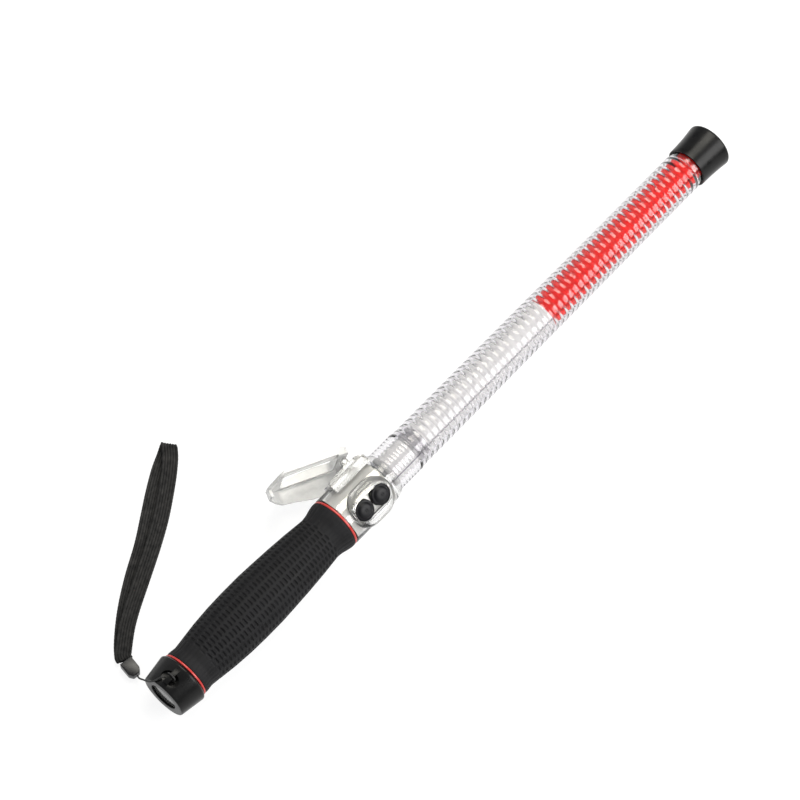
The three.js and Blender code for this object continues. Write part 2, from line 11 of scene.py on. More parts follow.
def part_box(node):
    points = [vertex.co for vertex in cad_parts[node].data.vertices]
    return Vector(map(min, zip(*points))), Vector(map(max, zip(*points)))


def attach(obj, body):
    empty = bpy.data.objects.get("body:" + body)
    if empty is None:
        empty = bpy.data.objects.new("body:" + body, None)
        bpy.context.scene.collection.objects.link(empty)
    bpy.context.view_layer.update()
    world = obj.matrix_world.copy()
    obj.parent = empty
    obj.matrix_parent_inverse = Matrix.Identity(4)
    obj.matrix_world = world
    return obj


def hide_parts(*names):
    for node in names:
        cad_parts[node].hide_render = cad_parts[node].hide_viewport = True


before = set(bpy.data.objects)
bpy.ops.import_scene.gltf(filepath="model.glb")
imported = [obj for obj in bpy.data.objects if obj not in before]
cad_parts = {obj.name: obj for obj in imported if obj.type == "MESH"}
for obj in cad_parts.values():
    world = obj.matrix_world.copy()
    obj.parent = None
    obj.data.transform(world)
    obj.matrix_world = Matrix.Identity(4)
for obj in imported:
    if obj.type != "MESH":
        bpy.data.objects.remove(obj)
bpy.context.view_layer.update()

MM = 0.001

# The baton's own axis runs along +X from the tail face. Shapes are drawn on it in millimetres:
# x from the tail face, y and z from the axis.
grip_low, grip_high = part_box("grip_sleeve")
TAIL_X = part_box("tail_cap")[0].x
AXIS_Y = (grip_low.y + grip_high.y) / 2
AXIS_Z = (grip_low.z + grip_high.z) / 2
PLACE = Matrix.Translation((TAIL_X, AXIS_Y, AXIS_Z)) @ Matrix.Scale(MM, 4)

PAD_ROLL = math.radians(42)
HOOK_ROLL = math.radians(-78)
AXIS_HEIGHT = AXIS_Z / MM


# ---------------------------------------------------------------- camera and light

CAMERA_AZIMUTH = math.radians(-48.46)
CAMERA_ELEVATION = math.radians(62.52)
CAMERA_FROM_TAIL = (-0.447, -0.5923, 1.818)


def add_camera():
    """A long lens that looks down on the baton from beyond its tail."""
    data = bpy.data.cameras.new("camera")
    data.lens = 140
    data.sensor_width = 36
    data.clip_start, data.clip_end = 0.1, 20
    camera = bpy.data.objects.new("camera", data)
    azimuth, elevation = CAMERA_AZIMUTH, CAMERA_ELEVATION
    back = Vector((
        math.sin(azimuth) * math.cos(elevation),
        -math.cos(azimuth) * math.cos(elevation),
        math.sin(elevation),
    ))
    offset_x, offset_y, height = CAMERA_FROM_TAIL
    camera.location = (TAIL_X + offset_x, AXIS_Y + offset_y, height)
    camera.rotation_mode = "QUATERNION"
    camera.rotation_quaternion = (-back).to_track_quat("-Z", "Y")
    bpy.context.collection.objects.link(camera)
    bpy.context.scene.camera = camera


def add_area_light(name, direction, distance, size, power, color):
    """A softbox aimed at the baton, with its first side along the baton."""
    data = bpy.data.lights.new(name, "AREA")
    data.shape = "RECTANGLE"
    data.size, data.size_y = size
    data.energy = power
    data.color = color
    light = bpy.data.objects.new(name, data)
    back = Vector(direction).normalized()
    side = Vector((1, 0, 0))
    side = (side - back * side.dot(back)).normalized()
    axes = Matrix((side, back.cross(side), back)).transposed().to_4x4()
    light.matrix_world = Matrix.Translation(back * distance) @ axes
    bpy.context.collection.objects.link(light)


FLOOR_HALF = 6


def add_stage():
    """Soft studio light, and a floor that glows enough to come out white."""
    scene = bpy.context.scene
    scene.view_settings.view_transform = "Standard"
    world = bpy.data.worlds.new("studio")
    world.use_nodes = True
    background = world.node_tree.nodes["Background"]
    background.inputs["Color"].default_value = (0.93, 0.95, 1.0, 1)
    background.inputs["Strength"].default_value = 0.38
    scene.world = world
    add_area_light("key_softbox", (0.345, -0.729, 0.591), 1.5, (1.4, 0.85), 27, (1.0, 0.99, 0.98))
    add_area_light("top_softbox", (0.345, 0.147, 0.927), 1.6, (0.8, 0.9), 19, (1.0, 0.97, 0.88))
    add_area_light("left_fill", (-0.2, 0.8, 0.56), 2.2, (2.5, 2.5), 13, (1.0, 1.0, 1.0))

    mesh = bpy.data.meshes.new("floor")
    half = FLOOR_HALF
    corners = [(-half, -half, 0), (half, -half, 0), (half, half, 0), (-half, half, 0)]
    mesh.from_pydata(corners, [], [(0, 1, 2, 3)])
    floor = bpy.data.objects.new("floor", mesh)
    material, _, _, shader = new_material("floor_paper", (0.18, 0.18, 0.18), 0.9)
    shader.inputs["Specular IOR Level"].default_value = 0.1
    shader.inputs["Emission Color"].default_value = (1, 1, 1, 1)
    shader.inputs["Emission Strength"].default_value = 0.86
    mesh.materials.append(material)
    bpy.context.collection.objects.link(floor)


# ---------------------------------------------------------------- materials

def new_material(name, color, roughness, metallic=0.0, transmission=0.0, ior=1.45):
    material = bpy.data.materials.new(name)
    material.use_nodes = True
    nodes, links = material.node_tree.nodes, material.node_tree.links
    shader = nodes["Principled BSDF"]
    shader.inputs["Base Color"].default_value = (*color, 1)
    shader.inputs["Roughness"].default_value = roughness
    shader.inputs["Metallic"].default_value = metallic
    shader.inputs["Transmission Weight"].default_value = transmission
    shader.inputs["IOR"].default_value = ior
    return material, nodes, links, shader


def texture(nodes, links, kind, stretch=(1, 1, 1), **settings):
    """A procedural texture that reads the piece's own coordinates, in metres."""
    place = nodes.new("ShaderNodeTexCoord")
    mapping = nodes.new("ShaderNodeMapping")
    mapping.inputs["Scale"].default_value = stretch
    node = nodes.new(kind)
    for key, value in settings.items():
        node.inputs[key].default_value = value
    links.new(place.outputs["Object"], mapping.inputs["Vector"])
    links.new(mapping.outputs["Vector"], node.inputs["Vector"])
    return node


def vary(nodes, links, source, socket, low, high):
    """Drives a socket with a texture, from low to high."""
    spread = nodes.new("ShaderNodeMapRange")
    spread.inputs["From Min"].default_value = 0.3
    spread.inputs["From Max"].default_value = 0.7
    spread.inputs["To Min"].default_value = low
    spread.inputs["To Max"].default_value = high
    links.new(source, spread.inputs["Value"])
    links.new(spread.outputs["Result"], socket)


def vary_color(nodes, links, source, shader, low, high):
    ramp = nodes.new("ShaderNodeValToRGB")
    ramp.color_ramp.elements[0].position = 0.3
    ramp.color_ramp.elements[1].position = 0.7
    ramp.color_ramp.elements[0].color = (*low, 1)
    ramp.color_ramp.elements[1].color = (*high, 1)
    links.new(source, ramp.inputs["Fac"])
    links.new(ramp.outputs["Color"], shader.inputs["Base Color"])


def bump(nodes, links, source, shader, depth_mm, strength=1.0):
    node = nodes.new("ShaderNodeBump")
    node.inputs["Strength"].default_value = strength
    node.inputs["Distance"].default_value = depth_mm * MM
    links.new(source, node.inputs["Height"])
    links.new(node.outputs["Normal"], shader.inputs["Normal"])


def moulded_plastic(name, low, high, roughness, grain=0.012, specular=0.5):
    """Moulded plastic: a faint spark-eroded grain, and a little variation in colour and gloss."""
    material, nodes, links, shader = new_material(name, high, roughness)
    shader.inputs["Specular IOR Level"].default_value = specular
    fine = texture(nodes, links, "ShaderNodeTexNoise", Scale=4200, Detail=3)
    broad = texture(nodes, links, "ShaderNodeTexNoise", Scale=160, Detail=4)
    vary_color(nodes, links, broad.outputs["Fac"], shader, low, high)
    vary(nodes, links, broad.outputs["Fac"], shader.inputs["Roughness"], roughness * 0.85, roughness * 1.15)
    bump(nodes, links, fine.outputs["Fac"], shader, grain, 0.6)
    return material


def clear_plastic(name, color, roughness, wave=0.02, ior=1.49):
    """Clear moulded plastic, with the slight waviness of a moulding."""
    material, nodes, links, shader = new_material(name, color, roughness, transmission=1.0, ior=ior)
    flow = texture(nodes, links, "ShaderNodeTexNoise", Scale=220, Detail=2)
    bump(nodes, links, flow.outputs["Fac"], shader, wave, 0.5)
    return material


def milky_plastic(name, color, roughness, share=0.45):
    """Cloudy moulded plastic, part clear and part white."""
    material, nodes, links, shader = new_material(name, color, roughness, transmission=share)
    flow = texture(nodes, links, "ShaderNodeTexNoise", Scale=260, Detail=3)
    bump(nodes, links, flow.outputs["Fac"], shader, 0.02, 0.5)
    vary(nodes, links, flow.outputs["Fac"], shader.inputs["Transmission Weight"], share * 0.92, share * 1.08)
    return material


def metal(name, color, roughness, brushing=(1, 1, 1), share=1.0):
    material, nodes, links, shader = new_material(name, color, roughness, metallic=share)
    streaks = texture(nodes, links, "ShaderNodeTexNoise", stretch=brushing, Scale=900, Detail=3)
    vary(nodes, links, streaks.outputs["Fac"], shader.inputs["Roughness"], roughness * 0.7, roughness * 1.4)
    return material


def build_materials():
    made = {}
    made["black_plastic"] = moulded_plastic(
        "black_plastic", (0.003, 0.003, 0.003), (0.006, 0.006, 0.006), 0.3, specular=0.2)
    made["clasp_plastic"] = moulded_plastic(
        "clasp_plastic", (0.005, 0.005, 0.006), (0.010, 0.010, 0.011), 0.3, specular=0.4)
    made["grip_rubber"] = moulded_plastic(
        "grip_rubber", (0.005, 0.005, 0.0055), (0.011, 0.011, 0.012), 0.62, grain=0.03, specular=0.18)
    made["button_rubber"] = moulded_plastic(
        "button_rubber", (0.003, 0.003, 0.004), (0.006, 0.006, 0.007), 0.42, specular=0.25)
    made["red_rubber"] = moulded_plastic("red_rubber", (0.40, 0.022, 0.018), (0.50, 0.035, 0.028), 0.3)
    made["clear_housing"] = clear_plastic("clear_housing", (0.93, 0.93, 0.92), 0.04, wave=0.006)
    made["clear_hook"] = milky_plastic("clear_hook", (0.82, 0.82, 0.805), 0.22, 0.5)
    made["clear_saddle"] = milky_plastic("clear_saddle", (0.86, 0.86, 0.85), 0.14, 0.92)
    made["clear_bezel"] = clear_plastic("clear_bezel", (0.84, 0.84, 0.83), 0.05, wave=0.004)
    made["clear_tube"] = clear_plastic("clear_tube", (0.90, 0.89, 0.91), 0.075, wave=0.004)
    made["lens_glass"] = milky_plastic("lens_glass", (0.15, 0.15, 0.145), 0.1, 0.5)
    made["silver_film"] = metal("silver_film", (0.70, 0.69, 0.67), 0.5, brushing=(0.25, 3, 3), share=0.4)
    made["chrome"] = metal("chrome", (0.6, 0.6, 0.59), 0.45)
    made["steel"] = metal("steel", (0.62, 0.62, 0.63), 0.25)
    made["brass"] = metal("brass", (0.74, 0.56, 0.27), 0.25)
    made["red_film"] = film("red_film", (0.92, 0.009, 0.004), (0.99, 0.012, 0.006), 0.5)
    made["clear_film"] = film("clear_film", (0.86, 0.86, 0.84), (0.92, 0.92, 0.90), 0.5)
    # Dark films painted as shade: a strip along each sleeve's overlap step, and thin rings in the tube's
    # joint gaps.
    made["red_seam"] = film("red_seam", (0.30, 0.004, 0.004), (0.36, 0.006, 0.006), 0.3)
    made["clear_seam"] = film("clear_seam", (0.28, 0.27, 0.30), (0.34, 0.33, 0.36), 0.3)
    made["webbing"] = webbing_material()
    made["cord"] = moulded_plastic("cord", (0.012, 0.012, 0.012), (0.03, 0.03, 0.03), 0.7, grain=0.05)
    made["board"] = moulded_plastic("board", (0.010, 0.10, 0.035), (0.015, 0.16, 0.055), 0.4)
    made["cell_wrap"] = moulded_plastic("cell_wrap", (0.03, 0.10, 0.28), (0.05, 0.14, 0.34), 0.3)
    made["led_yellow"] = moulded_plastic("led_yellow", (0.75, 0.62, 0.15), (0.85, 0.72, 0.2), 0.15)
    made["led_red"] = moulded_plastic("led_red", (0.55, 0.02, 0.012), (0.65, 0.03, 0.02), 0.15)
    return made


def film(name, low, high, roughness):
    """Coloured plastic film, glossy, with faint roller marks along it."""
    material, nodes, links, shader = new_material(name, high, roughness)
    shader.inputs["Specular IOR Level"].default_value = 0.08
    marks = texture(nodes, links, "ShaderNodeTexNoise", stretch=(0.05, 1, 1), Scale=700, Detail=3)
    vary_color(nodes, links, marks.outputs["Fac"], shader, low, high)
    bump(nodes, links, marks.outputs["Fac"], shader, 0.01, 0.4)
    return material


def webbing_material():
    """Black nylon, with the fine cross picks of the weave."""
    material, nodes, links, shader = new_material("webbing", (0.02, 0.02, 0.021), 0.75)
    shader.inputs["Specular IOR Level"].default_value = 0.15
    weave = texture(nodes, links, "ShaderNodeTexNoise", Scale=3000, Detail=3)
    broad = texture(nodes, links, "ShaderNodeTexNoise", Scale=300, Detail=2)
    vary_color(nodes, links, broad.outputs["Fac"], shader, (0.012, 0.012, 0.012), (0.03, 0.029, 0.028))
    bump(nodes, links, weave.outputs["Fac"], shader, 0.15, 0.8)
    return material


# ---------------------------------------------------------------- mesh helpers

def roll_matrix(angle):
    """Turns the local +Z of a piece drawn at the top to its place round the axis."""
    return Matrix.Rotation(angle, 4, "X")


def mesh_object(name, points, faces, turn=None, sharp=35):
    """A piece from points in the baton's millimetres, placed in the row frame."""
    place = PLACE @ turn if turn else PLACE
    mesh = bpy.data.meshes.new(name)
    mesh.from_pydata([place @ Vector(p) for p in points], [], faces)
    mesh.update()
    obj = bpy.data.objects.new(name, mesh)
    bpy.context.collection.objects.link(obj)
    shade(obj, sharp)
    return obj


def shade(obj, sharp=35):
    mesh = obj.data
    mesh.polygons.foreach_set("use_smooth", [True] * len(mesh.polygons))
    mesh.set_sharp_from_angle(angle=math.radians(sharp))
    mesh.update()


def grid_faces(rows, columns, wrap_rows=False, wrap_columns=True):
    """Quads over a grid of points that is stored row by row."""
    faces = []
    for i in range(rows if wrap_rows else rows - 1):
        for j in range(columns if wrap_columns else columns - 1):
            down, along = (i + 1) % rows, (j + 1) % columns
            faces.append((i * columns + j, i * columns + along, down * columns + along, down * columns + j))
    return faces


def lathe(name, profile, segments=128, turn=None, sharp=35):
    """A closed turned piece. The profile is (x, radius) pairs: it starts and ends on the axis, or
    else it is closed on itself."""
    solid = profile[0][1] == 0
    rows = [p for p in profile if p[1] > 0]
    angles = np.linspace(0, 2 * math.pi, segments, endpoint=False)
    points = [(x, r * math.sin(a), r * math.cos(a)) for x, r in rows for a in angles]
    faces = grid_faces(len(rows), segments, wrap_rows=not solid)
    if solid:
        first, last = len(points), len(points) + 1
        points += [(profile[0][0], 0, 0), (profile[-1][0], 0, 0)]
        base = (len(rows) - 1) * segments
        for j in range(segments):
            k = (j + 1) % segments
            faces.append((first, k, j))
            faces.append((last, base + j, base + k))
    obj = mesh_object(name, points, faces, turn, sharp)
    face_outwards(obj)
    return obj


def face_outwards(obj):
    work = bmesh.new()
    work.from_mesh(obj.data)
    bmesh.ops.recalc_face_normals(work, faces=work.faces)
    work.to_mesh(obj.data)
    work.free()
    obj.data.update()


def rounded(points, radius, steps=5, closed=True):
    """An outline with each corner replaced by an arc-like curve. A point may bring its own radius."""
    result = []
    count = len(points)
    for i, point in enumerate(points):
        here = Vector(point[:2])
        size = point[2] if len(point) > 2 else radius
        if size == 0 or (not closed and i in (0, count - 1)):
            result.append(tuple(here))
            continue
        before = Vector(points[i - 1][:2])
        after = Vector(points[(i + 1) % count][:2])
        size = min(size, (before - here).length * 0.49, (after - here).length * 0.49)
        start = here + (before - here).normalized() * size
        end = here + (after - here).normalized() * size
        for k in range(steps + 1):
            t = k / steps
            result.append(tuple(start * (1 - t) ** 2 + here * 2 * t * (1 - t) + end * t * t))
    return result


def prism(name, outline, low, high, turn=None, sharp=35):
    """An outline in X and Y, raised from one height to another."""
    count = len(outline)
    points = [(x, y, low) for x, y in outline] + [(x, y, high) for x, y in outline]
    faces = [tuple(range(count - 1, -1, -1)), tuple(range(count, 2 * count))]
    faces += [(i, (i + 1) % count, count + (i + 1) % count, count + i) for i in range(count)]
    obj = mesh_object(name, points, faces, turn, sharp)
    face_outwards(obj)
    return obj


def side_prism(name, outline, low, high, turn=None, sharp=35):
    """An outline in X and Z, extruded across Y."""
    count = len(outline)
    points = [(x, low, z) for x, z in outline] + [(x, high, z) for x, z in outline]
    faces = [tuple(range(count)), tuple(range(2 * count - 1, count - 1, -1))]
    faces += [(i, (i + 1) % count, count + (i + 1) % count, count + i) for i in range(count)]
    obj = mesh_object(name, points, faces, turn, sharp)
    face_outwards(obj)
    return obj


def stadium(x, length, width, steps=24):
    radius, reach = width / 2, (length - width) / 2
    outline = []
    for k in range(steps + 1):
        a = -math.pi / 2 + math.pi * k / steps
        outline.append((x + reach + radius * math.cos(a), radius * math.sin(a)))
    for k in range(steps + 1):
        a = math.pi / 2 + math.pi * k / steps
        outline.append((x - reach + radius * math.cos(a), radius * math.sin(a)))
    return outline


def boolean(obj, operation, *tools):
    """Joins or cuts a piece with tool pieces, which are used up."""
    for tool in tools:
        change = obj.modifiers.new("boolean", "BOOLEAN")
        change.operation = operation
        change.solver = "EXACT"
        change.object = tool
        apply_modifiers(obj)
        bpy.data.objects.remove(tool)
    return obj


def apply_modifiers(obj):
    evaluated = obj.evaluated_get(bpy.context.evaluated_depsgraph_get())
    mesh = bpy.data.meshes.new_from_object(evaluated)
    obj.modifiers.clear()
    obj.data = mesh


def soften(obj, width_mm, segments=3, angle=32):
    """Rounds the sharp edges of a piece."""
    change = obj.modifiers.new("bevel", "BEVEL")
    change.width = width_mm * MM
    change.segments = segments
    change.limit_method = "ANGLE"
    change.angle_limit = math.radians(angle)
    change.use_clamp_overlap = True
    apply_modifiers(obj)
    shade(obj, 40)
    return obj


def piece(obj, body, material, slot_name, *nodes):
    """Gives a piece its body and material, and hides the CAD nodes that it stands for. The slot name is not
    used.
    """
    obj.data.materials.clear()
    obj.data.materials.append(material)
    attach(obj, body)
    if nodes:
        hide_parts(*nodes)
    return obj


# ---------------------------------------------------------------- cords

def on_floor(x, y, height):
    return Vector((x, y, height - AXIS_HEIGHT))


CORD_ROUTE = [
    on_floor(9.3, 2.9, 37.7),
    on_floor(9.2, 1.3, 39),
    on_floor(9, -1.3, 39),
    on_floor(8.8, -2.9, 37.5),
    on_floor(8.2, -2.3, 35.3),
    on_floor(7.2, 0.3, 34.8),
    on_floor(6.1, 2.9, 36),
    on_floor(4.6, 4.1, 37.75),
    on_floor(2.2, 5.3, 36.8),
    on_floor(0, 6.7, 35.4),
    on_floor(-0.9, 9, 32.4),
    on_floor(-1, 12.4, 28),
    on_floor(-0.6, 16.3, 23),
    on_floor(0.6, 20.4, 15.5),
    on_floor(2.2, 24.4, 8.2),
    on_floor(3.75, 27.4, 3.9),
]
WEBBING_ROUTE = [
    on_floor(5.9, 40.7, 1.9),
    on_floor(6.7, 43.2, 1.5),
    on_floor(9.3, 46.4, 1.1),
    on_floor(13, 50.2, 0.85),
    on_floor(23.4, 59, 0.8),
    on_floor(34.6, 67.2, 0.8),
    on_floor(51.6, 77.8, 0.8),
    on_floor(72.1, 89, 0.8),
    on_floor(90, 100.4, 0.8),
    on_floor(103, 108.8, 0.8),
    on_floor(118.4, 117.8, 0.8),
    on_floor(128.3, 122.4, 0.9),
    on_floor(133.8, 125, 1.5),
    on_floor(135.3, 125.2, 2.8),
    on_floor(134, 123.3, 4.2),
    on_floor(129, 117.8, 4),
    on_floor(121, 111.2, 3.1),
    on_floor(106.6, 101, 2.65),
    on_floor(92.1, 91.6, 2.6),
    on_floor(75.9, 82.6, 2.6),
    on_floor(55.2, 72.2, 2.6),
    on_floor(34.1, 61.7, 2.65),
    on_floor(24.4, 56.1, 2.9),
    on_floor(16.7, 50.7, 3.3),
    on_floor(10.9, 46.2, 3.9),
    on_floor(7.2, 43.1, 4.3),
    on_floor(6.2, 40.7, 4.5),
]
FOLD_DIRECTION = Vector((0.9, 0.43, 0))


def smooth_route(route, count):
    """Evenly spaced points on a centripetal Catmull-Rom curve through the route."""
    points = [route[0] * 2 - route[1], *route, route[-1] * 2 - route[-2]]
    dense = []
    for a, b, c, d in zip(points, points[1:], points[2:], points[3:]):
        knots = [0.0]
        for p, q in ((a, b), (b, c), (c, d)):
            knots.append(knots[-1] + max((q - p).length, 1e-6) ** 0.5)
        t0, t1, t2, t3 = knots
        for t in np.linspace(t1, t2, 24, endpoint=False):
            a1 = a * ((t1 - t) / (t1 - t0)) + b * ((t - t0) / (t1 - t0))
            a2 = b * ((t2 - t) / (t2 - t1)) + c * ((t - t1) / (t2 - t1))
            a3 = c * ((t3 - t) / (t3 - t2)) + d * ((t - t2) / (t3 - t2))
            b1 = a1 * ((t2 - t) / (t2 - t0)) + a2 * ((t - t0) / (t2 - t0))
            b2 = a2 * ((t3 - t) / (t3 - t1)) + a3 * ((t - t1) / (t3 - t1))
            dense.append(b1 * ((t2 - t) / (t2 - t1)) + b2 * ((t - t1) / (t2 - t1)))
    dense.append(route[-1])
    line = np.array(dense)
    reach = np.concatenate([[0], np.cumsum(np.linalg.norm(np.diff(line, axis=0), axis=1))])
    even = np.linspace(0, reach[-1], count)
    return np.stack([np.interp(even, reach, line[:, k]) for k in range(3)], axis=1), reach[-1]


def sweep(name, line, sections, sides, ups):
    """A tube of changing section along a line. Each section is (across, up) pairs."""
    rows, columns = len(line), len(sections[0])
    points = [
        tuple(line[i] + sides[i] * u + ups[i] * v)
        for i in range(rows)
        for u, v in sections[i]
    ]
    faces = grid_faces(rows, columns)
    faces.append(tuple(range(columns - 1, -1, -1)))
    faces.append(tuple(range((rows - 1) * columns, rows * columns)))
    obj = mesh_object(name, points, faces, sharp=60)
    face_outwards(obj)
    return obj


CLASP_PLACE = (4.7, 33.8)
CLASP_HEADING = math.radians(81)
CLASP_BOTTOM, CLASP_TOP = 0.3, 6.4
CLASP_TAPER = 12


def add_clasp(materials):
    """The black block that joins the thin cord to the webbing, lower at the cord's end."""
    turn = Matrix.Translation((*CLASP_PLACE, -AXIS_HEIGHT)) @ Matrix.Rotation(CLASP_HEADING, 4, "Z")
    outline = rounded([
        (5.75, -4.4), (5.75, 4.4), (-3, 4.4, 0.7), (-5.75, 2.4, 0.7), (-5.75, -2.4, 0.7), (-3, -4.4, 0.7),
    ], 0.5)
    body = prism("strap_clasp_body", outline, CLASP_BOTTOM, CLASP_TOP, turn)
    soften(body, 0.4, 3)
    middle = (turn @ Vector((0, 0, 0))).y * MM + AXIS_Y
    for vertex in body.data.vertices:
        vertex.co.z *= 1 + CLASP_TAPER * (vertex.co.y - middle) - 0.05
    return piece(body, "tail", materials["clasp_plastic"], "black_plastic", "strap_clasp")


CORD_RADIUS = 0.52
CORD_STRAND_LIFT = 0.07
CORD_LAY = 3.2
CORD_SIDES = 16


def add_lanyard(materials):
    clasp = add_clasp(materials)

    count = 170
    line, length = smooth_route(CORD_ROUTE, count)
    tangents = np.gradient(line, axis=0)
    tangents /= np.linalg.norm(tangents, axis=1)[:, None]
    side = np.cross(tangents[0], (0, 0, 1.0))
    sides, ups = [], []
    for t in tangents:
        side = side - t * np.dot(side, t)
        side /= np.linalg.norm(side)
        sides.append(side.copy())
        ups.append(np.cross(t, side))
    sections = []
    twist = length / count * 2 * math.pi / CORD_LAY
    for i in range(count):
        ring = []
        for k in range(CORD_SIDES):
            a = 2 * math.pi * k / CORD_SIDES
            r = CORD_RADIUS + CORD_STRAND_LIFT * math.cos(3 * (a - i * twist))
            ring.append((r * math.cos(a), r * math.sin(a)))
        sections.append(ring)
    cord = sweep("lanyard_cord_twist", line, sections, sides, ups)
    piece(cord, "tail", materials["cord"], "webbing", "lanyard_cord")

    count = 420
    line, length = smooth_route(WEBBING_ROUTE, count)
    tangents = np.gradient(line, axis=0)
    tangents /= np.linalg.norm(tangents, axis=1)[:, None]
    sides, ups, sections = [], [], []
    for i, t in enumerate(tangents):
        heading = Vector(t) * (1 if FOLD_DIRECTION.dot(t) > 0 else -1)
        heading.z = 0
        heading = (heading + FOLD_DIRECTION * 4 * abs(t[2])).normalized()
        across = np.array((-heading.y, heading.x, 0))
        sides.append(across)
        ups.append(np.cross(t, across))
        sections.append(webbing_section(i))
    strap = sweep("wrist_strap_webbing", line, sections, sides, ups)
    piece(strap, "tail", materials["webbing"], "webbing", "wrist_strap")
    return strap


WEBBING_HALF_WIDTH = 5.2
WEBBING_VALLEY = 0.1
WEBBING_RIB_LIFT = 0.58


def webbing_section(step):
    """Flat webbing with six lengthwise ribs on both faces, and a slightly wavering edge."""
    half_width = WEBBING_HALF_WIDTH + 0.05 * math.sin(step * 1.9)
    ribs, per_rib = 6, 8
    top = []
    for k in range(ribs * per_rib + 1):
        share = k / (ribs * per_rib)
        wave = abs(math.sin(math.pi * ribs * share)) ** 0.7
        u = half_width * (2 * share - 1)
        v = WEBBING_VALLEY + WEBBING_RIB_LIFT * wave + 0.02 * math.sin(step * 2.4 + 9 * (k // per_rib))
        top.append((u, v))
    return top + [(u, -v) for u, v in reversed(top)]


# ---------------------------------------------------------------- tail

def add_tail(materials):
    profile = rounded([
        (0, 10, 0.3), (0, 16.0, 0.9), (16.6, 18.45, 0.5), (17.6, 18.4, 0.9), (18.8, 17.2, 0.5),
        (18.8, 13.2, 0.2), (31, 13.2, 0.4), (31, 11.7, 0.2), (1.2, 11.7, 0.1), (1.2, 10, 0.2),
    ], 0.3)
    cap = lathe("tail_cap_body", profile, 160)
    pocket_x = 7.6
    ring = [
        (pocket_x + 4.2 * math.cos(a), 6.6 * math.sin(a))
        for a in np.linspace(0, 2 * math.pi, 48, endpoint=False)
    ]
    pocket = prism("pocket", ring, 13.9, 22)
    bridge = prism("bridge", rounded([
        (pocket_x - 4.6, -1.7), (pocket_x + 4.9, -1.7), (pocket_x + 4.9, 1.7), (pocket_x - 4.6, 1.7),
    ], 0.3), 16.1, 17.9)
    boolean(cap, "DIFFERENCE", pocket)
    boolean(cap, "UNION", bridge)
    soften(cap, 0.18, 2, 40)
    piece(cap, "tail", materials["black_plastic"], "black_plastic", "tail_cap")

    lens = lathe("tail_lens_glass", rounded([
        (1.5, 0), (1.5, 11.1, 0.2), (3.4, 11.1, 0.2), (3.4, 10, 0.2), (2.9, 5, 3), (2.9, 0),
    ], 0.2, closed=False), 96)
    piece(lens, "tail", materials["lens_glass"], "clear_plastic", "tail_lens")

    seal = lathe("lens_seal_ring", rounded([(3.7, 10.3), (3.7, 11.3), (4.7, 11.3), (4.7, 10.3)], 0.3), 96)
    piece(seal, "tail", materials["button_rubber"], "black_rubber", "lens_seal")

    bowl = []
    for k in range(17):
        x = 5.6 + 8.2 * k / 16
        bowl.append((x, 10.3 * math.sqrt(max(1 - (x - 5.6) / 8.9, 0.02))))
    reflector = lathe("reflector_bowl", [(5, 10.6), (5, 11.3), (6, 11.3), (6, 11.0)]
                      + [(x + 0.35, r + 0.35) for x, r in bowl] + bowl[::-1], 96)
    piece(reflector, "tail", materials["chrome"], "chrome", "tail_reflector")


# ---------------------------------------------------------------- grip

GRIP_OUTLINE = [
    (20.8, 16.7), (21.8, 17.0), (27.3, 16.3), (35, 17.2), (46.5, 18.6), (60, 19.6), (73, 20),
    (89, 20), (100, 19.5), (115, 18.7), (130, 17.6), (140, 16.6), (144.7, 16.2), (149, 16.7),
    (153, 17.8), (156.7, 18.5), (158, 18.3),
]


SLOT_ROWS = 20
SLOT_PITCH = 3.1
SLOT_HALF_ALONG, SLOT_HALF_AROUND = 0.95, 2.3
SLOT_DEPTH = 0.8
SLOTS_FROM, SLOTS_TO = 33, 145
FLUTE_DEPTH = 0.28
HANDLE_RADIUS = 15.1


